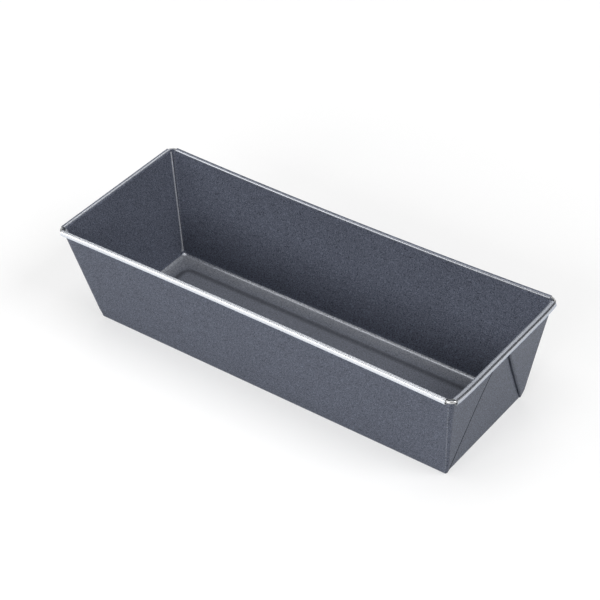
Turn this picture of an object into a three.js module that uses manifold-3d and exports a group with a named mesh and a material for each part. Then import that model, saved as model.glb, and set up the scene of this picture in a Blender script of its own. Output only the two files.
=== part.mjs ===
// Folded loaf tin: one blank of coated steel sheet folded up into a tapered tin, its rim hemmed round a wire.
// Millimetres, +Z up, X along the tin. The origin is the middle of the footprint, on the table.
import * as THREE from "three";
import Module from "manifold-3d";

// Overall sizes
const RIM_LENGTH = 300; // over the end hems, along X
const RIM_WIDTH = 114; // over the long hems at the corners, along Y
const HEIGHT = 75; // from the table to the top of the rim
const BASE_LENGTH = 267.6; // outside, where the end walls would meet the table
const BASE_WIDTH = 82.6; // outside, where the long walls would meet the table
const RIM_DRAW_IN = 1.8; // how far a long wall is drawn in at the middle of its rim

// Sheet, wire and hems
const SHEET = 0.5;
const WIRE = 1.8; // diameter
const WIRE_CLEARANCE = 0.2; // from the wire to the sheet round it
const WIRE_BUTT = 0.6; // from one end of the wire to the other, inside the back hem
const HEM_TURN = THREE.MathUtils.degToRad(290); // how far the sheet rolls round the wire
const LONG_HEM_SETBACK = 0.8; // from the end of a long hem to the start of the corner's bend
const END_HEM_SETBACK = 0.1; // from the end of an end hem to the tight fold of the end wall

// Folded corners
const PLY_GAP = 0.12; // between two plies of a gusset
const SLIT_FOOT = 0.25; // from the folded edge of an end wall to the long wall, at the base
const SLIT_TOP = 1.4; // the same at the rim
const GUSSET_FOOT = 0.5; // flat left at the foot of a gusset, between its bend and its diagonal fold
const GUSSET_TOE = 2; // from the table to the lowest point of a gusset
const GUSSET_TIP_GAP = 6; // least distance between two gussets of one end, at the rim
const CORNER_RISE = 1.1; // how far the cut edge at a corner stands above the middle of the wire

// Base
const BASE_BEND = 3; // inside radius from the base to the walls
const BASE_CORNER = 0.5; // radius of the base's corners, seen from above
const PANEL_BORDER = 7.2; // flat strip between the bend and the raised panel
const PANEL_SLOPE = 7; // width of the panel's soft shoulder
const PANEL_RISE = 1.6; // height of the raised panel
const PANEL_CORNER = 1.5; // radius of the panel's corners, seen from above

// Steps of the faceted curves
const HEM_STEPS = 24;
const BEND_STEPS = 6;
const FOLD_STEPS = 6;
const PANEL_STEPS = 8;
const RING_CORNER_STEPS = 8;
const WALL_STATIONS = 13; // along a long wall, which curves in
const WIRE_SIDES = 12;
const WIRE_CORNER_STEPS = 8;

// The wire's middle line, and the roll of sheet round it
const hemInner = WIRE / 2 + WIRE_CLEARANCE;
const hemOuter = hemInner + SHEET;
const rim = HEIGHT - hemOuter; // height of the wire
const wireHalfLength = RIM_LENGTH / 2 - hemOuter;
const wireHalfWidth = RIM_WIDTH / 2 - hemOuter;

// A gusset lies on an end wall as two more plies, so an end hem holds the wire that much further out.
const pitch = SHEET + PLY_GAP;
const longLean = leanUnderHem(BASE_WIDTH / 2, wireHalfWidth, hemInner);
const endLean = leanUnderHem(BASE_LENGTH / 2, wireHalfLength, hemInner + 2 * pitch);

// Sheet and plies measured level, across the leaning walls
const longSheet = SHEET / Math.cos(longLean);
const endSheet = SHEET / Math.cos(endLean);
const endPitch = pitch / Math.cos(endLean);

// Heights of the wall: where the base's bend has ended, where the hems begin, a sheet's thickness under their roll
// also on a wall that leans in, and the highest point at a corner
const foot = SHEET + BASE_BEND;
const hemRoot = rim + hemOuter * Math.sin(Math.min(0, longLean, endLean)) - SHEET;
const collar = rim + CORNER_RISE;

// Base, end wall, long wall and gusset meet at a bottom corner of the flat blank, so their angles make a full
// turn. The gusset folds along its middle, which sets how fast it widens from the base to the rim.
const endAngle = Math.PI / 2 + Math.atan(Math.tan(longLean) * Math.cos(endLean));
const longAngle = Math.PI / 2 + Math.atan(Math.tan(endLean) * Math.cos(longLean));
const gussetAngle = 1.5 * Math.PI - endAngle - longAngle;
const diagonalLean = gussetAngle / 2 - (endAngle - Math.PI / 2);
const foldedGrowth = Math.tan(longLean) + Math.tan(diagonalLean) / Math.cos(endLean);
const foldOuter = SHEET + PLY_GAP / 2;
const footWidth = bendInner(GUSSET_TOE) + SHEET + GUSSET_FOOT + foldOuter;
const growthToTip = (longFace(rim) - footWidth - GUSSET_TIP_GAP / 2) / (rim - GUSSET_TOE);
const gussetGrowth = Math.min(foldedGrowth, growthToTip);

const wasm = await Module();
wasm.setup();

// Lean of a wall that rises from its base line and passes the wire at a given distance.
function leanUnderHem(baseHalf, wireHalf, distance) {
  const out = wireHalf - baseHalf;
  return Math.atan2(out, rim) - Math.asin(distance / Math.hypot(out, rim));
}

// Outer face of an end wall and of a long wall at a height.
function endFace(z) {
  return BASE_LENGTH / 2 + z * Math.tan(endLean);
}

function longFace(z) {
  return BASE_WIDTH / 2 + z * Math.tan(longLean);
}

// Inside radius of the bend from a long wall into its gusset. The end wall's tight fold sits inside it.
function bendInner(z) {
  const share = (z - GUSSET_TOE) / (rim - GUSSET_TOE);
  return SHEET + PLY_GAP / 2 + THREE.MathUtils.lerp(SLIT_FOOT, SLIT_TOP, share);
}

// Middle of the bend at a corner, seen from above.
function bendCentre(z) {
  const outerPly = endFace(z) - endSheet / 2 + 2 * endPitch;
  const reach = bendInner(z) + SHEET / 2;
  return new THREE.Vector2(outerPly - reach, longFace(z) - longSheet / 2 - reach);
}

// How far a long wall is drawn in, at a share of its half length.
function drawIn(share, z) {
  return RIM_DRAW_IN * (1 - share * share) * ((z - foot) / (rim - foot));
}

// Shares of a long wall's half length, from -1 to 1.
const stations = Array.from({ length: WALL_STATIONS }, (_, i) => (2 * i) / (WALL_STATIONS - 1) - 1);

function hemReach(z) {
  return bendCentre(z).x - LONG_HEM_SETBACK;
}

// Angles of an arc, ends included.
function anglesBetween(from, to, steps) {
  return Array.from({ length: steps + 1 }, (_, i) => THREE.MathUtils.lerp(from, to, i / steps));
}

// A closed body through a row of rings with equal counts. The rings turn anticlockwise seen against the
// direction they advance in, and the outline is one ring laid flat, for the two ends.
function loft(rings, outline) {
  const count = outline.length;
  const triangles = [];
  for (let k = 0; k + 1 < rings.length; k++) {
    for (let i = 0; i < count; i++) {
      const a = k * count + i;
      const b = k * count + ((i + 1) % count);
      triangles.push(a, b, b + count, a, b + count, a + count);
    }
  }
  const last = (rings.length - 1) * count;
  for (const [a, b, c] of THREE.ShapeUtils.triangulateShape(outline, [])) {
    triangles.push(a, c, b, last + a, last + b, last + c);
  }
  const geometry = new THREE.BufferGeometry().setFromPoints(rings.flat());
  geometry.setIndex(triangles);
  return geometry;
}

// A closed wall of sheet between a lower and an upper loop. A loop runs clockwise seen from above, with the
// tin's outside on its left, and each of its points holds the two faces of the sheet.
function sheetWall(lower, upper) {
  const count = lower.length;
  const points = [lower, upper].flatMap((loop) => [...loop.map((p) => p.outer), ...loop.map((p) => p.inner)]);
  const triangles = [];
  const quad = (a, b, c, d) => triangles.push(a, b, c, a, c, d);
  for (let i = 0; i < count; i++) {
    const j = (i + 1) % count;
    const [outerLow, innerLow, outerHigh, innerHigh] = [0, 1, 2, 3].map((row) => row * count);
    quad(outerLow + i, outerHigh + i, outerHigh + j, outerLow + j);
    quad(innerLow + i, innerLow + j, innerHigh + j, innerHigh + i);
    quad(innerHigh + i, innerHigh + j, outerHigh + j, outerHigh + i);
    quad(innerLow + i, outerLow + i, outerLow + j, innerLow + j);
  }
  const geometry = new THREE.BufferGeometry().setFromPoints(points);
  geometry.setIndex(triangles);
  return geometry;
}

function solid(geometry) {
  const vertProperties = geometry.attributes.position.array;
  const triVerts = Uint32Array.from(geometry.index.array);
  return new wasm.Manifold(new wasm.Mesh({ numProp: 3, vertProperties, triVerts }));
}

function geometryOf(made) {
  const { vertProperties, triVerts } = made.getMesh();
  const geometry = new THREE.BufferGeometry();
  geometry.setAttribute("position", new THREE.BufferAttribute(vertProperties, 3));
  geometry.setIndex(new THREE.BufferAttribute(triVerts, 1));
  return geometry;
}

// A rounded rectangle at a height, anticlockwise from above.
function rectangleRing(halfLength, halfWidth, corner, z) {
  const ring = [];
  for (let quarter = 0; quarter < 4; quarter++) {
    const from = (quarter * Math.PI) / 2;
    const x = (halfLength - corner) * (quarter === 0 || quarter === 3 ? 1 : -1);
    const y = (halfWidth - corner) * (quarter < 2 ? 1 : -1);
    for (const angle of anglesBetween(from, from + Math.PI / 2, RING_CORNER_STEPS)) {
      ring.push(new THREE.Vector3(x + corner * Math.cos(angle), y + corner * Math.sin(angle), z));
    }
  }
  return ring;
}

// Base

// One face of the base, filled up to the last of some heights: the raised panel, its shoulder, the flat border,
// the bend and the start of the walls. The lower face is at depth 0 and the upper one a sheet above it.
function baseFace(depth, bendRadius, heights) {
  const bendHeight = BASE_BEND + SHEET;
  const toBend = (lean) => (bendHeight * (Math.sin(lean) - 1)) / Math.cos(lean);
  const flatLength = BASE_LENGTH / 2 + toBend(endLean);
  const flatWidth = BASE_WIDTH / 2 + toBend(longLean);
  const rings = [];
  for (let i = 0; i <= PANEL_STEPS; i++) {
    const share = i / PANEL_STEPS;
    const inset = PANEL_BORDER + PANEL_SLOPE * (1 - share);
    const z = depth + (PANEL_RISE * (1 + Math.cos(Math.PI * share))) / 2;
    const corner = PANEL_CORNER + PANEL_SLOPE * share;
    rings.push(rectangleRing(flatLength - inset, flatWidth - inset, corner, z));
  }
  const bendEnd = Math.PI / 2 - Math.max(longLean, endLean);
  for (const angle of anglesBetween(0, bendEnd, BEND_STEPS)) {
    const out = bendRadius * Math.sin(angle);
    const z = bendHeight - bendRadius * Math.cos(angle);
    rings.push(rectangleRing(flatLength + out, flatWidth + out, BASE_CORNER, z));
  }
  const endInset = depth > 0 ? endSheet : 0;
  const longInset = depth > 0 ? longSheet : 0;
  for (const z of heights) {
    rings.push(rectangleRing(endFace(z) - endInset, longFace(z) - longInset, BASE_CORNER, z));
  }
  return solid(loft(rings, rings[0].map((p) => new THREE.Vector2(p.x, p.y))));
}

function base() {
  const overcut = 1;
  const filled = baseFace(0, BASE_BEND + SHEET, [foot]);
  return filled.subtract(baseFace(SHEET, BASE_BEND, [foot, foot + overcut]));
}

// Walls and folded corners

// Points on the middle of the sheet round an arc, with the direction of the tin's outside.
function foldArc(centre, radius, from, to, steps, side, kind) {
  return anglesBetween(from, to, steps).map((angle) => {
    const radial = new THREE.Vector2(Math.cos(angle), Math.sin(angle));
    return { at: radial.clone().multiplyScalar(radius).add(centre), out: radial.multiplyScalar(side), kind };
  });
}

// A corner of the wall cut level: round the bend from the long wall into the gusset's outer ply, back at the
// diagonal fold into its hidden ply, and back again at the tight fold into the end wall.
function cornerCut(z) {
  const centre = bendCentre(z);
  const endMid = endFace(z) - endSheet / 2;
  const diagonal = longFace(z) - footWidth - gussetGrowth * (z - GUSSET_TOE);
  const diagonalCentre = new THREE.Vector2(endMid + 1.5 * endPitch, diagonal + foldOuter);
  const tightCentre = new THREE.Vector2(endMid + endPitch / 2, centre.y);
  const underHem = new THREE.Vector2(endMid + 2 * endPitch, centre.y - END_HEM_SETBACK);
  const [bendStart, ...bend] = foldArc(centre, bendInner(z) + SHEET / 2, Math.PI / 2, 0, BEND_STEPS, 1, "bend");
  return [
    { ...bendStart, kind: "bendStart" },
    ...bend,
    { at: underHem, out: new THREE.Vector2(1, 0), kind: "gusset" },
    ...foldArc(diagonalCentre, endPitch / 2, 0, -Math.PI, FOLD_STEPS, 1, "gusset"),
    ...foldArc(tightCentre, endPitch / 2, 0, Math.PI, FOLD_STEPS, -1, "wall"),
  ];
}

// One loop round the whole wall, with a height of its own for the plain walls, the bends and the gussets.
function wallLoop(heights) {
  const cuts = Object.fromEntries(Object.entries(heights).map(([kind, z]) => [kind, cornerCut(z)]));
  const corner = cuts.wall.map(({ kind }, i) => ({ ...cuts[kind][i], sheet: endSheet, z: heights[kind] }));
  const long = stations.map((share) => {
    const y = longFace(heights.wall) - longSheet / 2 - drawIn(share, heights.wall);
    const at = new THREE.Vector2(share * hemReach(heights.wall), y);
    return { at, out: new THREE.Vector2(0, 1), sheet: longSheet, z: heights.wall };
  });
  const turned = (row, x, y) => row.map((p) => sheetPoint(p, x, y));
  return [
    ...turned(long, 1, 1),
    ...turned(corner, 1, 1),
    ...turned(corner, 1, -1).reverse(),
    ...turned(long, -1, -1),
    ...turned(corner, -1, -1),
    ...turned(corner, -1, 1).reverse(),
  ];
}

// The two faces of the sheet at a point of the loop, mirrored to one of the four corners.
function sheetPoint({ at, out, sheet, z }, x, y) {
  const face = (side) => {
    const reach = (side * sheet) / 2;
    return new THREE.Vector3((at.x + out.x * reach) * x, (at.y + out.y * reach) * y, z);
  };
  return { outer: face(1), inner: face(-1) };
}

function walls() {
  const lower = wallLoop({ wall: foot, bendStart: foot, bend: GUSSET_TOE, gusset: GUSSET_TOE });
  const upper = wallLoop({ wall: hemRoot, bendStart: collar, bend: collar, gusset: rim });
  return solid(sheetWall(lower, upper));
}

// Hems

// Section of a hem across the wall: up from the wall, over the plies under it and round the wire.
function hemSection(face, sheet, lean, wireOut, plies) {
  const start = Math.PI - lean;
  const angles = anglesBetween(start, start - HEM_TURN, HEM_STEPS);
  const roll = (radius) => {
    const over = angles.filter((angle) => angle > Math.PI / 2);
    const round = angles.filter((angle) => angle < Math.PI / 2);
    const point = (angle, out) => new THREE.Vector2(out + radius * Math.cos(angle), rim + radius * Math.sin(angle));
    return [
      ...over.map((angle) => point(angle, wireOut - plies)),
      ...(plies > 0 ? [point(Math.PI / 2, wireOut - plies)] : []),
      point(Math.PI / 2, wireOut),
      ...round.map((angle) => point(angle, wireOut)),
    ];
  };
  const skin = [new THREE.Vector2(face - sheet, hemRoot), ...roll(hemOuter)];
  const lining = [new THREE.Vector2(face, hemRoot), ...roll(hemInner)];
  return [...lining, ...skin.reverse()];
}

// The hem along the long wall at +Y follows its curve.
function longHem() {
  const section = hemSection(longFace(hemRoot), longSheet, longLean, wireHalfWidth, 0);
  const rings = stations.map((share) => {
    const x = share * hemReach(hemRoot);
    return section.map((p) => new THREE.Vector3(x, p.x - drawIn(share, hemRoot), p.y));
  });
  return loft(rings, section);
}

// The hem along the end wall at +X
function endHem() {
  const section = hemSection(endFace(hemRoot), endSheet, endLean, wireHalfLength, 2 * endPitch);
  const reach = bendCentre(hemRoot).y - END_HEM_SETBACK;
  const rings = [1, -1].map((side) => section.map((p) => new THREE.Vector3(p.x, side * reach, p.y)));
  return loft(rings, section);
}

// The blank, folded: base, walls and hems are one sheet.
function foldedBody() {
  const hems = [longHem(), endHem()].flatMap((hem) => [hem, hem.clone().rotateZ(Math.PI)]);
  const parts = [walls(), ...hems.map(solid)];
  return geometryOf(parts.reduce((sheet, part) => sheet.add(part), base()));
}

// Rim wire

// Middle line of the wire, level all round: from the middle of the back hem clockwise to its other end.
function wirePath() {
  const bend = bendInner(rim) + SHEET + hemInner;
  const quarter = (x, y, from) =>
    anglesBetween(from, from - Math.PI / 2, WIRE_CORNER_STEPS).map((angle) => {
      const centre = new THREE.Vector2(x * (wireHalfLength - bend), y * (wireHalfWidth - bend));
      return centre.add(new THREE.Vector2(Math.cos(angle), Math.sin(angle)).multiplyScalar(bend));
    });
  const back = (share) => new THREE.Vector2(share * hemReach(rim), wireHalfWidth - drawIn(share, rim));
  const start = new THREE.Vector2(WIRE_BUTT / 2, wireHalfWidth - drawIn(0, rim));
  return [
    start,
    ...stations.filter((share) => share > 0).map(back),
    ...quarter(1, 1, Math.PI / 2),
    ...quarter(1, -1, 0),
    ...stations.toReversed().map((share) => back(share).multiply(new THREE.Vector2(1, -1))),
    ...quarter(-1, -1, -Math.PI / 2),
    ...quarter(-1, 1, Math.PI),
    ...stations.filter((share) => share < 0).map(back),
    start.clone().multiply(new THREE.Vector2(-1, 1)),
  ];
}

function rimWire() {
  const path = wirePath();
  const outline = anglesBetween(0, 2 * Math.PI, WIRE_SIDES)
    .slice(0, -1)
    .map((angle) => new THREE.Vector2(Math.cos(angle), Math.sin(angle)).multiplyScalar(WIRE / 2));
  const rings = path.map((at, i) => {
    const ahead = path[Math.min(i + 1, path.length - 1)];
    const behind = path[Math.max(i - 1, 0)];
    const along = ahead.clone().sub(behind).normalize();
    return outline.map((p) => new THREE.Vector3(at.x - along.y * p.x, at.y + along.x * p.x, rim + p.y));
  });
  return loft(rings, outline);
}

const coatedSheet = new THREE.MeshStandardMaterial({ color: 0x5d636e, roughness: 0.45, metalness: 0.6 });
const brightWire = new THREE.MeshStandardMaterial({ color: 0xc9cacc, roughness: 0.28, metalness: 1 });

function named(name, geometry, material) {
  geometry.computeVertexNormals();
  const mesh = new THREE.Mesh(geometry, material);
  mesh.name = name;
  return mesh;
}

const breadTin = new THREE.Group();
breadTin.add(named("folded_body", foldedBody(), coatedSheet));
breadTin.add(named("rim_wire", rimWire(), brightWire));

export default breadTin;
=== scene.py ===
# A folded bread tin: one sheet of coated steel folded up into a tapered tin, its rim rolled round a wire.
# The pieces are drawn in millimetres, as a tinsmith gives their sizes, and brought to metres when done.
import math

import bmesh
import bpy
from mathutils import Matrix, Vector


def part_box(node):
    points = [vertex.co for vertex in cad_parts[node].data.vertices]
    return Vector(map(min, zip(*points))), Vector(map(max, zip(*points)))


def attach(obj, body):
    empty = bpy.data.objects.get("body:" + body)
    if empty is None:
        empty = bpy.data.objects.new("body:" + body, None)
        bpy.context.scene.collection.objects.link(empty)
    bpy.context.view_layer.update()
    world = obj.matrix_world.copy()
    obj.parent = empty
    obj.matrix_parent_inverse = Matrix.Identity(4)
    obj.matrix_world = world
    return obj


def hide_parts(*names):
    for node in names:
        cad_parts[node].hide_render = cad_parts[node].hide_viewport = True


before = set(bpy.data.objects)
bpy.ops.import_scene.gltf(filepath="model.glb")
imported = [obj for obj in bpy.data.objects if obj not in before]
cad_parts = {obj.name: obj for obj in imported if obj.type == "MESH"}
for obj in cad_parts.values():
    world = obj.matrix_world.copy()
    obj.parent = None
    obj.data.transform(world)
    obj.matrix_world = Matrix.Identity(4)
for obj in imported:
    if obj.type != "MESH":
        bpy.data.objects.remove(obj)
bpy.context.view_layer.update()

# Folded body
# One blank of 0.5 mm steel sheet with a dark grey non-stick coating on both faces. The walls are bent up
# from the base, the spare sheet at each corner is folded flat against the end as a gusset, and the rim is
# rolled last.
MM_PER_M = 1000
body_low, body_high = (corner * MM_PER_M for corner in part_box("folded_body"))
rim_length, rim_width, height = body_high - body_low
base_length, base_width = 267.6, 82.6  # outside, where the walls would meet the table

sheet = 0.5
cut_edge_round = 0.04
wire_thickness = 1.8
wire_play = 0.2  # between the wire and the sheet rolled round it
hem_radius = wire_thickness / 2 + wire_play + sheet / 2  # to the middle of the sheet
hem_turn = math.radians(290)
hem_steps = 32
long_hem_setback, end_hem_setback = 0.8, 0.1
front_hem_over = 1.6  # its left end reaches past the fold
right_hem_over = 1.2  # its front end reaches past the fold
back_hem_shift = 0.4  # both its ends, to the right

ply_gap = 0.12
pitch = sheet + ply_gap  # from one ply of a gusset to the next
slit_foot, slit_top = 0.25, 1.4  # between the folded edge of an end wall and the long wall
gusset_toe = 2  # height of a gusset's lowest point
pinch = 0.3  # how near its plies come to each other there
gusset_foot, gusset_top = 2.4, 50.4  # width of a gusset at its toe and at the rim
gusset_flat_from = 8  # height where its plies lie flat
front_gusset_short, back_gusset_over = 2.2, 1.7  # how much narrower and wider they are folded
corner_rise = 1.1  # cut edge of a corner above the middle of the wire
crease_width, crease_fade = 0.95, 0.25  # of the painted shade line along a gusset's folded edge
rub_sheen_foot, rub_sheen_width = 3.4, 1.2  # of the painted highlight line along an end wall's folded edge, where its coating is rubbed

base_bend = 3  # inside radius
panel_border, panel_slope, panel_rise, panel_corner = 7.2, 7, 1.6, 1.5
back_draw_in, front_draw_in = 2.7, 1.2  # the long walls are drawn in at the middle of the rim
right_bow_out = 1.3  # the right end is bowed out between its corners
bow_squareness, bow_lift = 8, 4  # how straight the bowed rim stays, and how near it the wall starts to bow
hem_droop = 0.8  # the hems hang lower than the wire needs
weld = 0.002  # points this near to each other are one
level_touch = 0.05  # points this near the height of the base lie on it

corner_bend_wear_and_sheen, tight_fold_wear_and_sheen, panel_wear_and_sheen = 0.12, 0.8, 0.16  # how far the coating is rubbed off, which also paints it lighter as a highlight
bend_wear_and_sheen_from, bend_wear_and_sheen_start, bend_wear_and_sheen_fall = 0.4, 0.85, 0.5  # by the share of the base bend; the rubbed strip is also a painted highlight line
panel_painted_shade, panel_painted_shade_skew = 0.55, 0.8  # painted shade on the panel's shoulder, and how far down it lies
back_crease_painted_shade = 0.2  # of the painted shade that the front ones have
# How far each hem's rubbed band is rubbed to bare metal; the band is also painted lighter as a highlight.
front_hem_wear_and_sheen, back_hem_wear_and_sheen, left_hem_wear_and_sheen = 1, 0.5, 0.7
right_top_wear_and_sheen, right_side_wear_and_sheen, right_side_from = 0.35, 0.6, 30  # its side starts at this angle from its top
hem_polish = 0.9
# The rubbed band of a hem, also a painted highlight, starts, is full, fades and ends at these angles from the
# hem's top.
front_band = right_band = -50, -20, 400, 500
back_band = -85, -75, -45, -15
left_band = -30, -12, 0, 8

long_cuts, end_cuts = 48, 16  # along half a wall
bend_steps, fold_steps, panel_steps = 10, 10, 10

wire_height = height - hem_radius - sheet / 2
wire_x = rim_length / 2 - hem_radius - sheet / 2
wire_y = rim_width / 2 - hem_radius - sheet / 2
base_foot = sheet + base_bend  # where the walls have left the bend of the base
collar = wire_height + corner_rise


def lean_under_hem(base_half, wire_half, distance):
    """Lean of a wall that rises from its base line and passes the wire at a distance."""
    out = wire_half - base_half
    return math.atan2(out, wire_height) - math.asin(distance / math.hypot(out, wire_height))


def between(foot_value, top_value, z):
    """A size that changes evenly from a gusset's toe to the rim."""
    return foot_value + (top_value - foot_value) * (z - gusset_toe) / (wire_height - gusset_toe)


long_lean = lean_under_hem(base_width / 2, wire_y, hem_radius - sheet / 2)
end_lean = lean_under_hem(base_length / 2, wire_x, hem_radius - sheet / 2 + 2 * pitch)


def long_wall_y(z):
    """Middle of a long wall's sheet at a height."""
    return base_width / 2 + z * math.tan(long_lean) - sheet / 2 / math.cos(long_lean)


def end_wall_x(z):
    """Middle of an end wall's sheet at a height."""
    return base_length / 2 + z * math.tan(end_lean) - sheet / 2 / math.cos(end_lean)


def run(bm, tip, step, cuts=1):
    """Draws a straight run of the wall's cut from its tip."""
    drawn = []
    for _ in range(cuts):
        tip = bmesh.ops.extrude_vert_indiv(bm, verts=[tip])["verts"][0]
        bmesh.ops.translate(bm, verts=[tip], vec=step / cuts)
        drawn.append(tip)
    return drawn


def fold(bm, tip, centre, angle, steps):
    """Draws a fold of the wall's cut, turning its tip round an upright line."""
    drawn = []
    for _ in range(steps):
        turned = bmesh.ops.spin(
            bm, geom=[tip], cent=centre, axis=(0, 0, 1), angle=angle / steps, steps=1, use_duplicate=False
        )
        tip = next(part for part in turned["geom_last"] if isinstance(part, bmesh.types.BMVert))
        drawn.append(tip)
    return drawn


def wall_cut(bm, z):
    """A quarter of the wall cut level: long wall, bend, gusset out and back, tight fold, end wall."""
    bend_radius = sheet * 1.5 + ply_gap / 2 + between(slit_foot, slit_top, z)
    flat_share = min(1, (z - gusset_toe) / (gusset_flat_from - gusset_toe))
    level_pitch = pitch / math.cos(end_lean) * (pinch + (1 - pinch) * flat_share)
    outer_ply = end_wall_x(z) + 2 * level_pitch
    bend = Vector((outer_ply - bend_radius, long_wall_y(z) - bend_radius, z))
    fold_y = long_wall_y(z) + sheet / 2 - between(gusset_foot, gusset_top, z) + sheet + ply_gap / 2
    diagonal = Vector((outer_ply - level_pitch / 2, fold_y, z))
    tight = Vector((end_wall_x(z) + level_pitch / 2, bend.y, z))
    reach = Vector((bend.x - long_hem_setback, 0, 0))
    cut = {"long": [bm.verts.new((0, long_wall_y(z), z))]}
    cut["long"] += run(bm, cut["long"][-1], reach, long_cuts)
    cut["bend"] = run(bm, cut["long"][-1], Vector((long_hem_setback, 0, 0)))
    cut["bend"] += fold(bm, cut["bend"][-1], bend, -math.pi / 2, bend_steps)
    cut["gusset"] = run(bm, cut["bend"][-1], Vector((0, -end_hem_setback, 0)))
    ply = bend.y - diagonal.y - end_hem_setback
    crease, fade = min(crease_width, ply / 3), min(crease_fade, ply / 3)
    for width in (ply - crease - fade, fade, crease):
        cut["gusset"] += run(bm, cut["gusset"][-1], Vector((0, -width, 0)))
    cut["diagonal"] = cut["gusset"][-3:] + fold(bm, cut["gusset"][-1], diagonal, -math.pi, fold_steps)
    cut["hidden"] = run(bm, cut["diagonal"][-1], Vector((0, tight.y - diagonal.y, 0)))
    cut["tight"] = fold(bm, cut["hidden"][-1], tight, math.pi, fold_steps)
    cut["end"] = run(bm, cut["tight"][-1], Vector((0, -end_hem_setback, 0)))
    rub_sheen = rub_sheen_foot + (rub_sheen_width - rub_sheen_foot) * flat_share
    cut["end"] += run(bm, cut["end"][-1], Vector((0, -rub_sheen, 0)))
    cut["end"] += run(bm, cut["end"][-1], Vector((0, end_hem_setback + rub_sheen - tight.y, 0)), end_cuts)
    return cut


def edges_along(verts):
    """The edges that join neighbours in a row of vertices."""
    row = set(verts)
    return list({edge for vert in verts for edge in vert.link_edges if set(edge.verts) <= row})


def extruded(bm, edges):
    """Extrudes a row of edges and gives the new edges and vertices."""
    made = bmesh.ops.extrude_edge_only(bm, edges=edges)["geom"]
    new_edges = [part for part in made if isinstance(part, bmesh.types.BMEdge)]
    new_verts = [part for part in made if isinstance(part, bmesh.types.BMVert)]
    side = set(new_verts)
    return [edge for edge in new_edges if set(edge.verts) <= side], new_verts


def rolled(bm, edges, centre, axis, angle, steps):
    """Rolls a row of edges round a line, a little at a time, and gives each new row of vertices."""
    rows = []
    for _ in range(steps):
        edges, verts = extruded(bm, edges)
        bmesh.ops.rotate(bm, verts=verts, cent=centre, matrix=Matrix.Rotation(angle / steps, 3, axis))
        rows.append(verts)
    return edges, rows


body = bmesh.new()
diagonal_mark = body.verts.layers.int.new("diagonal")
hem_mark = body.verts.layers.int.new("hem")
roll_mark = body.verts.layers.float.new("roll")
wear_and_sheen_mark = body.verts.layers.float.new("wear_and_sheen")
polish_mark = body.verts.layers.float.new("polish")
painted_shade_mark = body.verts.layers.float.new("painted_shade")

wall_rows = 9
levels = [gusset_toe, base_foot, gusset_flat_from]
levels += [
    gusset_flat_from + (wire_height - gusset_flat_from) * row / wall_rows for row in range(1, wall_rows + 1)
]
levels.append(collar)
cuts = [wall_cut(body, z) for z in levels]
for cut in cuts:
    for vert in cut["diagonal"]:
        vert[diagonal_mark] = 1
    # A gusset's folded edge gets painted shade, a dark line along it.
    for vert in cut["diagonal"][1:]:
        vert[painted_shade_mark] = 1
    # The corner bend and the tight fold are rubbed, and painted lighter there as highlight lines.
    cut["bend"][0][wear_and_sheen_mark] = corner_bend_wear_and_sheen
    for vert in cut["tight"] + cut["end"][:1]:
        vert[wear_and_sheen_mark] = tight_fold_wear_and_sheen
rows_of_verts = [[vert for stretch in cut.values() for vert in stretch] for cut in cuts]
for lower, upper in zip(rows_of_verts, rows_of_verts[1:]):
    bmesh.ops.bridge_loops(body, edges=edges_along(lower) + edges_along(upper))


def trim(cut_a, cut_b, stretches):
    """Takes away the sheet between two levels along some stretches of the wall."""
    verts = {vert for cut in (cut_a, cut_b) for stretch in stretches for vert in cut[stretch]}
    faces = {face for vert in verts for face in vert.link_faces if set(face.verts) <= verts}
    bmesh.ops.delete(body, geom=list(faces), context="FACES")


# The walls stop at the bend of the base, where only the gussets reach lower.
# Only the corners rise past the hems.
trim(cuts[0], cuts[1], ["long", "tight", "end"])
trim(cuts[-2], cuts[-1], ["long", "gusset", "diagonal", "hidden", "tight", "end"])

# Base bend, rolled in from the foot of each wall. Its corners are mitred.
foot_cut = cuts[1]
bend_radius = base_bend + sheet / 2
flat_x = base_length / 2 + base_foot * (math.sin(end_lean) - 1) / math.cos(end_lean)
flat_y = base_width / 2 + base_foot * (math.sin(long_lean) - 1) / math.cos(long_lean)


def mitre(step):
    """The corner where the bends of a long wall and an end wall meet."""
    share = step / bend_steps
    end_turn = end_lean + (math.pi / 2 - end_lean) * share
    long_turn = long_lean + (math.pi / 2 - long_lean) * share
    drop = (math.sin(end_turn) + math.sin(long_turn)) / 2
    out = Vector((math.cos(end_turn), math.cos(long_turn), -drop)) * bend_radius
    return Vector((flat_x, flat_y, base_foot)) + out


def bend_to_base(edges, out, flat, lean, axis):
    """Brings the foot of a wall round the bend into the base. The corner follows the mitre. Its base side is
    rubbed and painted lighter as a highlight line.
    """
    along = 1 - out
    edges, verts = extruded(body, edges)
    wall = long_wall_y if out == 1 else end_wall_x
    drop = Vector((0, 0, bend_radius * -math.sin(lean)))
    drop[out] = flat + bend_radius * math.cos(lean) - wall(base_foot)
    bmesh.ops.translate(body, verts=verts, vec=drop)
    centre = Vector((0, 0, base_foot))
    centre[out] = flat
    rows = rolled(body, edges, centre, axis, math.pi / 2 - lean, bend_steps)[1]
    for step, row in enumerate([verts, *rows]):
        max(row, key=lambda vert: vert.co[along]).co = mitre(step)
        share = step / bend_steps
        rubbed_sheen = 0 if share < bend_wear_and_sheen_from else bend_wear_and_sheen_start - bend_wear_and_sheen_fall * share
        for vert in row:
            vert[wear_and_sheen_mark] = rubbed_sheen
            vert[polish_mark] = rubbed_sheen


bend_to_base(edges_along(foot_cut["long"]), 1, flat_y, long_lean, Vector((-1, 0, 0)))
bend_to_base(edges_along(foot_cut["end"]), 0, flat_x, end_lean, Vector((0, 1, 0)))

# Hems, rolled out and down round the wire
rim_cut = cuts[-2]
hem_reach, end_hem_reach = rim_cut["long"][-1].co.x, rim_cut["end"][0].co.y


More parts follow.
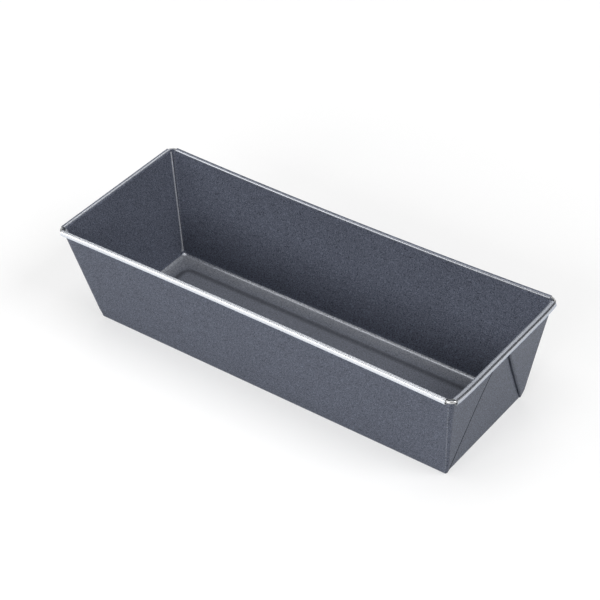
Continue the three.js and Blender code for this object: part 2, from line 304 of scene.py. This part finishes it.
def hem(edges, out, wire, lean, axis, plies):
    """Rolls the top of a wall over any plies that lie against it and round the wire."""
    edges, verts = extruded(body, edges)
    wall = long_wall_y if out == 1 else end_wall_x
    rise = Vector((0, 0, hem_radius * math.sin(lean)))
    rise[out] = wire - plies - hem_radius * math.cos(lean) - wall(wire_height)
    bmesh.ops.translate(body, verts=verts, vec=rise)
    over = math.pi / 2 - lean
    over_steps = round(hem_steps * over / hem_turn)
    centre = Vector((0, 0, wire_height))
    centre[out] = wire - plies
    edges, rows = rolled(body, edges, centre, axis, over, over_steps)
    if plies:
        edges, verts = extruded(body, edges)
        across = Vector((0, 0, 0))
        across[out] = plies
        bmesh.ops.translate(body, verts=verts, vec=across)
        rows.append(verts)
    centre[out] = wire
    edges, more_rows = rolled(body, edges, centre, axis, hem_turn - over, hem_steps - over_steps)
    rolls = [over * (step / over_steps - 1) for step in range(1, len(rows) + 1)]
    rolls += [(hem_turn - over) * step / len(more_rows) for step in range(1, len(more_rows) + 1)]
    for roll, row in zip(rolls, rows + more_rows):
        turned = min(math.pi, max(0, roll))
        bmesh.ops.translate(body, verts=row, vec=Vector((0, 0, -hem_droop * (1 - math.cos(turned)) / 2)))
        for vert in row:
            vert[hem_mark] = 1
            vert[roll_mark] = math.degrees(roll)


hem(edges_along(rim_cut["long"]), 1, wire_y, long_lean, Vector((-1, 0, 0)), 0)
hem(edges_along(rim_cut["end"]), 0, wire_x, end_lean, Vector((0, 1, 0)), 2 * pitch / math.cos(end_lean))

# The other three quarters
for axis in ("X", "Y"):
    bmesh.ops.mirror(body, geom=body.verts[:] + body.edges[:] + body.faces[:], axis=axis, merge_dist=weld)
bmesh.ops.remove_doubles(body, verts=body.verts, dist=weld)

# Raised panel: the flat border, then a soft shoulder up to the panel
floor_z = sheet / 2
border_edges = [
    edge
    for edge in body.edges
    if edge.is_boundary and all(abs(vert.co.z - floor_z) < level_touch for vert in edge.verts)
]


def place_on_ring(verts, inset, corner, z):
    """Moves a row of the base's vertices onto a rounded rectangle."""
    for vert in verts:
        core = Vector((flat_x - inset - corner, flat_y - inset - corner))
        point = Vector((abs(vert.co.x), abs(vert.co.y)))
        nearest = Vector((min(point.x, core.x), min(point.y, core.y)))
        spot = nearest + (point - nearest).normalized() * corner
        vert.co = (math.copysign(spot.x, vert.co.x), math.copysign(spot.y, vert.co.y), z)


for step in range(panel_steps + 1):
    share = step / panel_steps
    border_edges, ring = extruded(body, border_edges)
    rise = panel_rise * (1 - math.cos(math.pi * share)) / 2
    inset = panel_border + panel_slope * share
    corner = panel_corner + panel_slope * (1 - share)
    place_on_ring(ring, inset, corner, floor_z + rise)
    for vert in ring:
        # The panel is rubbed a little, which also paints it lighter than its border as sheen.
        vert[wear_and_sheen_mark] = panel_wear_and_sheen
        # Painted shade darkens the shoulder, most a little below its middle.
        vert[painted_shade_mark] = panel_painted_shade * math.sin(math.pi * share ** panel_painted_shade_skew)
bmesh.ops.contextual_create(body, geom=border_edges)


# Folding by hand leaves the front gussets a little short and the back ones wide, the long walls drawn in, the
# right end bowed out and the ends of the hems uneven. Use rubs each hem in its own place, and each rubbed
# band is also a painted highlight. The gussets' folded edges carry painted shade, the back ones less.
def drawn_in(co):
    """How far a point of a long wall or of its wire is drawn in."""
    along = max(0, 1 - (co.x / hem_reach) ** 2)
    rise = min(1, max(0, (co.z - base_foot) / (wire_height - base_foot)))
    return (back_draw_in if co.y > 0 else -front_draw_in) * along * rise


def bowed_out(co):
    """How far a point of the right end or of its wire is bowed out."""
    across = 1 - min(1, abs(co.y) / wire_y) ** bow_squareness
    rise = min(1, max(0, (co.z - base_foot) / (wire_height - base_foot)))
    return right_bow_out * across * rise ** bow_lift * max(0, co.x / wire_x) ** 2


def rubbed_sheen_band(roll, start, full, fade, end):
    """How far a hem is rubbed and painted with a highlight at an angle from its top, along a band between
    four such angles.
    """
    return max(0, min(1, (roll - start) / (full - start), (end - roll) / (end - fade)))


def rub_hem_with_sheen(vert, wear_and_sheen, band):
    """Rubs the coating of a hem down to the metal along a band, which also paints a highlight there."""
    rubbed_sheen = rubbed_sheen_band(vert[roll_mark], *band)
    vert[wear_and_sheen_mark] = wear_and_sheen * rubbed_sheen
    vert[polish_mark] = hem_polish * rubbed_sheen


for vert in body.verts:
    if vert[diagonal_mark] and vert.co.y > 0:
        vert.co.y -= between(0, back_gusset_over, vert.co.z)
        # The back gussets' folded edges get less painted shade than the front ones.
        vert[painted_shade_mark] *= back_crease_painted_shade
    elif vert[diagonal_mark]:
        vert.co.y -= front_gusset_short * min(1, (vert.co.z - gusset_toe) / (gusset_flat_from - gusset_toe))
    if abs(vert.co.y) > long_wall_y(vert.co.z) - sheet / 2:
        at_hem_end = vert[hem_mark] and abs(abs(vert.co.x) - hem_reach) < sheet / 10
        if at_hem_end and vert.co.y > 0:
            vert.co.x += back_hem_shift
        elif at_hem_end and vert.co.x < 0:
            vert.co.x -= front_hem_over
        if vert[hem_mark] and vert.co.y < 0:
            rub_hem_with_sheen(vert, front_hem_wear_and_sheen, front_band)
        elif vert[hem_mark]:
            rub_hem_with_sheen(vert, back_hem_wear_and_sheen, back_band)
        vert.co.y -= drawn_in(vert.co)
    elif vert[hem_mark] and vert.co.x > 0:
        on_top = vert[roll_mark] < right_side_from
        rub_hem_with_sheen(vert, right_top_wear_and_sheen if on_top else right_side_wear_and_sheen, right_band)
        if abs(vert.co.y + end_hem_reach) < sheet / 10:
            vert.co.y -= right_hem_over
    elif vert[hem_mark]:
        rub_hem_with_sheen(vert, left_hem_wear_and_sheen, left_band)
    vert.co.x += bowed_out(vert.co)
bmesh.ops.recalc_face_normals(body, faces=body.faces)
cut_mark = body.edges.layers.float.new("bevel_weight_edge")
for edge in body.edges:
    if edge.is_boundary and all(vert.co.z > gusset_flat_from for vert in edge.verts):
        edge[cut_mark] = 1
bmesh.ops.scale(body, verts=body.verts, vec=Vector((1, 1, 1)) / MM_PER_M)

body_mesh = bpy.data.meshes.new("folded_body_sheet")
body.to_mesh(body_mesh)
body.free()
for polygon in body_mesh.polygons:
    polygon.use_smooth = True
body_sheet = bpy.data.objects.new("folded_body_sheet", body_mesh)
bpy.context.scene.collection.objects.link(body_sheet)

thickness = body_sheet.modifiers.new("sheet thickness", "SOLIDIFY")
thickness.thickness = sheet / MM_PER_M
thickness.offset = 0
thickness.use_even_offset = True
thickness.material_offset_rim = 1

rounding = body_sheet.modifiers.new("worn cut edges", "BEVEL")
rounding.limit_method = "WEIGHT"
rounding.width = cut_edge_round / MM_PER_M
rounding.use_clamp_overlap = False
rounding.segments = 2
rounding.profile = 0.5
rounding.material = -1
shading = body_sheet.modifiers.new("flat faces", "WEIGHTED_NORMAL")
shading.keep_sharp = False


def node(tree, kind, **settings):
    """Adds a node and sets its properties."""
    made = tree.nodes.new(kind)
    for name, value in settings.items():
        setattr(made, name, value)
    return made


# Grain, which every metal here shows at its own scale: noise spread between a low and a high value.
noise_roughness = 0.6
noise_low, noise_high = 0.25, 0.75  # nearly all of the noise lies between these
grain_group = bpy.data.node_groups.new("metal_grain", "ShaderNodeTree")
grain_group.interface.new_socket("Place", in_out="INPUT", socket_type="NodeSocketVector")
for name in ("Scale", "Detail", "Low", "High"):
    grain_group.interface.new_socket(name, in_out="INPUT", socket_type="NodeSocketFloat")
grain_group.interface.new_socket("Value", in_out="OUTPUT", socket_type="NodeSocketFloat")
given = node(grain_group, "NodeGroupInput").outputs
noise = node(grain_group, "ShaderNodeTexNoise")
noise.inputs["Roughness"].default_value = noise_roughness
grain_group.links.new(given["Place"], noise.inputs["Vector"])
grain_group.links.new(given["Scale"], noise.inputs["Scale"])
grain_group.links.new(given["Detail"], noise.inputs["Detail"])
spread = node(grain_group, "ShaderNodeMapRange")
spread.inputs["From Min"].default_value = noise_low
spread.inputs["From Max"].default_value = noise_high
grain_group.links.new(noise.outputs["Fac"], spread.inputs["Value"])
grain_group.links.new(given["Low"], spread.inputs["To Min"])
grain_group.links.new(given["High"], spread.inputs["To Max"])
grain_group.links.new(spread.outputs["Result"], node(grain_group, "NodeGroupOutput").inputs["Value"])


def grain(tree, place, scale, detail, low, high):
    """Places the grain in a material, at a scale per metre."""
    placed = node(tree, "ShaderNodeGroup", node_tree=grain_group)
    tree.links.new(place, placed.inputs["Place"])
    for name, value in (("Scale", scale), ("Detail", detail), ("Low", low), ("High", high)):
        placed.inputs[name].default_value = value
    return placed.outputs["Value"]


def combined(tree, operation, first, second):
    """Two values brought together. The second may be a plain number."""
    maths = node(tree, "ShaderNodeMath", operation=operation)
    tree.links.new(first, maths.inputs[0])
    if isinstance(second, bpy.types.NodeSocket):
        tree.links.new(second, maths.inputs[1])
    else:
        maths.inputs[1].default_value = second
    return maths.outputs["Value"]


# The coating is a dark blue-grey with metal flakes in it, so it sparkles finely. Rolling and folding rub it,
# and the rubbed places are painted lighter as highlights too.
coating_grey, rubbed_metal_sheen = (0.118, 0.13, 0.168, 1), (0.76, 0.78, 0.82, 1)
coating_ior, coating_gloss, gloss_tint = 1.35, 0.1, (0.78, 0.88, 1, 1)
# Each grain is a scale per metre, a detail, a low and a high value.
flake_grain, cloud_grain, patch_grain = (1500, 2, 0.15, 1.85), (22, 3, 0.96, 1.04), (800, 3, 0.3, 1.5)
coating_rough_grain, pit_grain = (900, 2, 0.28, 0.36), (1100, 3, 0, 1)
pit_depth, pit_strength = 0.02, 0.1
# Painted shade darkens the coating and makes it rougher where it is marked.
painted_shade_darkness, painted_shade_roughness = 0.9, 0.5
polish_metallic, flake_metallic, polish_smoothness = 0.9, 0.1, 0.06
coated_steel = bpy.data.materials.new("coated_steel")
coated_steel.use_nodes = True
tree = coated_steel.node_tree
shader = tree.nodes["Principled BSDF"]
shader.inputs["IOR"].default_value = coating_ior
shader.inputs["Specular IOR Level"].default_value = coating_gloss
shader.inputs["Specular Tint"].default_value = gloss_tint
place = node(tree, "ShaderNodeTexCoord").outputs["Object"]
flakes = grain(tree, place, *flake_grain)
clouds = grain(tree, place, *cloud_grain)
wear_and_sheen = node(tree, "ShaderNodeAttribute", attribute_name="wear_and_sheen").outputs["Fac"]
polish = node(tree, "ShaderNodeAttribute", attribute_name="polish").outputs["Fac"]
dull = combined(tree, "ADD", combined(tree, "MULTIPLY", polish, -1), 1)
patchy = node(tree, "ShaderNodeMix", data_type="FLOAT")
patchy.inputs["A"].default_value = 1
tree.links.new(combined(tree, "MULTIPLY", wear_and_sheen, dull), patchy.inputs["Factor"])
tree.links.new(grain(tree, place, *patch_grain), patchy.inputs["B"])
burnish_and_sheen = combined(tree, "MULTIPLY", wear_and_sheen, patchy.outputs["Result"])
tint = node(tree, "ShaderNodeMix", data_type="RGBA", blend_type="MIX")
tint.inputs["A"].default_value = coating_grey
tint.inputs["B"].default_value = rubbed_metal_sheen
tree.links.new(burnish_and_sheen, tint.inputs["Factor"])
rubbed_sheen_flakes = node(tree, "ShaderNodeMix", data_type="FLOAT")
rubbed_sheen_flakes.inputs["B"].default_value = 1
tree.links.new(combined(tree, "MAXIMUM", burnish_and_sheen, polish), rubbed_sheen_flakes.inputs["Factor"])
tree.links.new(flakes, rubbed_sheen_flakes.inputs["A"])
even = combined(tree, "MULTIPLY", rubbed_sheen_flakes.outputs["Result"], clouds)
sparkle = node(tree, "ShaderNodeVectorMath", operation="SCALE")
tree.links.new(tint.outputs["Result"], sparkle.inputs[0])
# Painted shade: where it is marked, the colour is darkened and the flakes lose their metal.
painted_shade = node(tree, "ShaderNodeAttribute", attribute_name="painted_shade").outputs["Fac"]
unshaded = combined(tree, "ADD", combined(tree, "MULTIPLY", painted_shade, -painted_shade_darkness), 1)
tree.links.new(combined(tree, "MULTIPLY", even, unshaded), sparkle.inputs["Scale"])
tree.links.new(sparkle.outputs["Vector"], shader.inputs["Base Color"])
bare = combined(tree, "MULTIPLY", polish, polish_metallic)
flaked = combined(tree, "MULTIPLY", unshaded, flake_metallic)
tree.links.new(combined(tree, "ADD", bare, flaked), shader.inputs["Metallic"])
smoother = combined(tree, "MULTIPLY", polish, -polish_smoothness)
roughened_in_shade = combined(tree, "MULTIPLY", painted_shade, painted_shade_roughness)
rough = grain(tree, place, *coating_rough_grain)
roughness = combined(tree, "ADD", rough, combined(tree, "ADD", smoother, roughened_in_shade))
tree.links.new(roughness, shader.inputs["Roughness"])
pitted = node(tree, "ShaderNodeBump")
pits_left = combined(tree, "ADD", combined(tree, "MULTIPLY", polish, -pit_strength), pit_strength)
tree.links.new(pits_left, pitted.inputs["Strength"])
pitted.inputs["Distance"].default_value = pit_depth / MM_PER_M
tree.links.new(grain(tree, place, *pit_grain), pitted.inputs["Height"])
tree.links.new(pitted.outputs["Normal"], shader.inputs["Normal"])

# The shears leave the cut edges of the blank bare, dull and a little streaked.
cut_dark, cut_light = (0.2, 0.21, 0.22, 1), (0.38, 0.39, 0.4, 1)
cut_streak_grain, cut_rough_grain = (1400, 3, 0, 1), (1900, 2, 0.35, 0.5)
bare_edge = bpy.data.materials.new("bare_cut_edge")
bare_edge.use_nodes = True
tree = bare_edge.node_tree
shader = tree.nodes["Principled BSDF"]
place = node(tree, "ShaderNodeTexCoord").outputs["Object"]
streaked = node(tree, "ShaderNodeMix", data_type="RGBA", blend_type="MIX")
streaked.inputs["A"].default_value = cut_dark
streaked.inputs["B"].default_value = cut_light
tree.links.new(grain(tree, place, *cut_streak_grain), streaked.inputs["Factor"])
tree.links.new(streaked.outputs["Result"], shader.inputs["Base Color"])
shader.inputs["Metallic"].default_value = 1
tree.links.new(grain(tree, place, *cut_rough_grain), shader.inputs["Roughness"])
body_mesh.materials.append(coated_steel)
body_mesh.materials.append(bare_edge)

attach(body_sheet, "root")
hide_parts("folded_body")

# Rim wire
# Drawn steel wire bent to a rounded rectangle, its ends butted in the middle of the back. The hems are
# rolled round it, and it shows bare at the four corners.
wire_sides = 20
wire_corner_steps = 16
wire_bend = slit_top + ply_gap / 2 + sheet * 1.5 + hem_radius + sheet / 2
wire_butt = 0.6

wire = bmesh.new()
bmesh.ops.create_circle(wire, cap_ends=True, radius=wire_thickness / 2, segments=wire_sides)
upright = Matrix.Translation((wire_butt / 2, wire_y, wire_height)) @ Matrix.Rotation(math.pi / 2, 4, "Y")
bmesh.ops.transform(wire, matrix=upright, verts=wire.verts)
tip_edges = wire.edges[:]
around_mark = wire.verts.layers.float.new("around")
for vert in wire.verts:
    vert[around_mark] = math.atan2(vert.co.z - wire_height, vert.co.y - wire_y)


def draw_wire(edges, step, cuts):
    """Draws the wire on along a straight run."""
    for _ in range(cuts):
        edges, verts = extruded(wire, edges)
        bmesh.ops.translate(wire, verts=verts, vec=step / cuts)
    return edges


def bend_wire(edges, x, y):
    """Bends the wire round a corner of the rim."""
    centre = Vector((x * (wire_x - wire_bend), y * (wire_y - wire_bend), wire_height))
    return rolled(wire, edges, centre, Vector((0, 0, -1)), math.pi / 2, wire_corner_steps)[0]


half_run = wire_x - wire_bend
tip_edges = draw_wire(tip_edges, Vector((half_run - wire_butt / 2, 0, 0)), long_cuts)
tip_edges = bend_wire(tip_edges, 1, 1)
tip_edges = draw_wire(tip_edges, Vector((0, -2 * (wire_y - wire_bend), 0)), end_cuts)
tip_edges = bend_wire(tip_edges, 1, -1)
tip_edges = draw_wire(tip_edges, Vector((-2 * half_run, 0, 0)), 2 * long_cuts)
tip_edges = bend_wire(tip_edges, -1, -1)
tip_edges = draw_wire(tip_edges, Vector((0, 2 * (wire_y - wire_bend), 0)), end_cuts)
tip_edges = bend_wire(tip_edges, -1, 1)
tip_edges = draw_wire(tip_edges, Vector((half_run - wire_butt / 2, 0, 0)), long_cuts)
bmesh.ops.contextual_create(wire, geom=tip_edges)
for vert in wire.verts:
    if abs(vert.co.y) > wire_y - wire_thickness:
        vert.co.y -= drawn_in(Vector((vert.co.x, vert.co.y, wire_height)))
    vert.co.x += bowed_out(Vector((vert.co.x, vert.co.y, wire_height)))
bmesh.ops.recalc_face_normals(wire, faces=wire.faces)
bmesh.ops.scale(wire, verts=wire.verts, vec=Vector((1, 1, 1)) / MM_PER_M)
wire_mesh = bpy.data.meshes.new("bare_rim_wire")
wire.to_mesh(wire_mesh)
wire.free()
for polygon in wire_mesh.polygons:
    polygon.use_smooth = len(polygon.vertices) == 4
bare_wire = bpy.data.objects.new("bare_rim_wire", wire_mesh)
bpy.context.scene.collection.objects.link(bare_wire)

# Drawing leaves fine streaks along the wire, and a thin dull film with a few darker spots.
wire_dark, wire_light = (0.42, 0.425, 0.43, 1), (0.62, 0.625, 0.63, 1)
streak_grain, spot_grain, wire_rough_grain = (3, 4, 0, 1), (420, 3, -0.6, 0.6), (700, 2, 0.28, 0.38)
streak_smoothness = 0.1
bright_steel = bpy.data.materials.new("bright_wire_steel")
bright_steel.use_nodes = True
tree = bright_steel.node_tree
shader = tree.nodes["Principled BSDF"]
place = node(tree, "ShaderNodeTexCoord").outputs["Object"]
round_wire = node(tree, "ShaderNodeCombineXYZ")
around = node(tree, "ShaderNodeAttribute", attribute_name="around").outputs["Fac"]
tree.links.new(around, round_wire.inputs["X"])
streaks = grain(tree, round_wire.outputs["Vector"], *streak_grain)
spots = grain(tree, place, *spot_grain)
filmed = node(tree, "ShaderNodeMix", data_type="RGBA", blend_type="MIX")
filmed.inputs["A"].default_value = wire_dark
filmed.inputs["B"].default_value = wire_light
tree.links.new(combined(tree, "ADD", streaks, spots), filmed.inputs["Factor"])
tree.links.new(filmed.outputs["Result"], shader.inputs["Base Color"])
shader.inputs["Metallic"].default_value = 1
smoother = combined(tree, "MULTIPLY", streaks, -streak_smoothness)
roughness = combined(tree, "ADD", smoother, grain(tree, place, *wire_rough_grain))
tree.links.new(roughness, shader.inputs["Roughness"])
wire_mesh.materials.append(bright_steel)

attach(bare_wire, "root")
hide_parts("rim_wire")

# Floor
# A plain pale studio table, wider than any view reaches, with a low backdrop standing all round its edge.
floor_radius, floor_sides = 8, 64
backdrop_height = 1.8
table_grey, table_roughness = (0.5, 0.5, 0.5, 1), 0.8
near_glow, far_glow = 0.5, 1  # bring the table up to white where it is looked at, and light nothing
glow_from, glow_to = 0.25, 3  # distances from the tin's middle
floor_bm = bmesh.new()
bmesh.ops.create_circle(floor_bm, cap_ends=True, radius=floor_radius, segments=floor_sides)
backdrop = extruded(floor_bm, floor_bm.edges[:])[1]
bmesh.ops.translate(floor_bm, verts=backdrop, vec=Vector((0, 0, backdrop_height)))
floor_mesh = bpy.data.meshes.new("floor")
floor_bm.to_mesh(floor_mesh)
floor_bm.free()
floor = bpy.data.objects.new("floor", floor_mesh)
bpy.context.scene.collection.objects.link(floor)
pale_table = bpy.data.materials.new("pale_table")
pale_table.use_nodes = True
tree = pale_table.node_tree
shader = tree.nodes["Principled BSDF"]
shader.inputs["Base Color"].default_value = table_grey
shader.inputs["Roughness"].default_value = table_roughness
shader.inputs["Emission Color"].default_value = (1, 1, 1, 1)
looked_at = node(tree, "ShaderNodeLightPath").outputs
seen = combined(tree, "MAXIMUM", looked_at["Is Camera Ray"], looked_at["Is Glossy Ray"])
seen = combined(tree, "MAXIMUM", seen, looked_at["Is Transmission Ray"])
away = node(tree, "ShaderNodeVectorMath", operation="LENGTH")
tree.links.new(node(tree, "ShaderNodeTexCoord").outputs["Object"], away.inputs[0])
glow = node(tree, "ShaderNodeMapRange")
glow.inputs["From Min"].default_value = glow_from
glow.inputs["From Max"].default_value = glow_to
glow.inputs["To Min"].default_value = near_glow
glow.inputs["To Max"].default_value = far_glow
tree.links.new(away.outputs["Value"], glow.inputs["Value"])
tree.links.new(combined(tree, "MULTIPLY", seen, glow.outputs["Result"]), shader.inputs["Emission Strength"])
floor_mesh.materials.append(pale_table)

# Studio light
# Softboxes over and round the table in a dim room. The left one draws the bright line along the front hem.
room_light = 0.08
lamp_distance = 3
scene = bpy.context.scene
scene.view_settings.view_transform = "Standard"
studio = bpy.data.worlds.new("studio")
scene.world = studio
studio.use_nodes = True
tree = studio.node_tree
tree.nodes["Background"].inputs["Color"].default_value = (1, 1, 1, 1)
tree.nodes["Background"].inputs["Strength"].default_value = room_light


def softbox(name, azimuth, elevation, width, height, brightness):
    """A softbox turned to the tin. Azimuth 0 is in front of it, and a brightness of 1 is white."""
    azimuth, elevation = math.radians(azimuth), math.radians(elevation)
    level = math.cos(elevation)
    towards = Vector((math.sin(azimuth) * level, -math.cos(azimuth) * level, math.sin(elevation)))
    lamp_data = bpy.data.lights.new(name, "AREA")
    lamp_data.shape = "RECTANGLE"
    lamp_data.size, lamp_data.size_y = width, height
    lamp_data.energy = brightness * math.pi * width * height
    lamp = bpy.data.objects.new(name, lamp_data)
    lamp.location = towards * lamp_distance
    lamp.rotation_euler = towards.to_track_quat("Z", "Y").to_euler()
    scene.collection.objects.link(lamp)


softbox("overhead", 0, 89, 2, 2, 2.3)
softbox("left", -46, 25, 2.2, 1.2, 2.5)
softbox("front", 5, 28, 1.6, 1, 7.6)
softbox("right", 92, 45, 1.4, 1.2, 8)
softbox("high_left", -73, 59, 1, 1.1, 1.6)
softbox("back", 218, 40, 1.8, 0.8, 1.6)

# Camera
# Stands where the photograph was taken from, in front of the tin, to its right and above it.
lens, sensor_width = 115.6, 36
azimuth, elevation, roll = math.radians(39.38), math.radians(38.28), math.radians(-3.81)
camera_place = Vector((0.5928, -0.7237, 0.7841))
camera_data = bpy.data.cameras.new("camera")
camera_data.lens = lens
camera_data.sensor_width = sensor_width
camera = bpy.data.objects.new("camera", camera_data)
scene.collection.objects.link(camera)
scene.camera = camera
level = math.cos(elevation)
back = Vector((math.sin(azimuth) * level, -math.cos(azimuth) * level, math.sin(elevation)))
right = Vector((math.cos(azimuth), math.sin(azimuth), 0))
turned_right = Matrix.Rotation(roll, 3, back) @ right
turned_up = back.cross(turned_right)
turned = Matrix((turned_right, turned_up, back)).transposed().to_4x4()
camera.matrix_world = Matrix.Translation(camera_place) @ turned
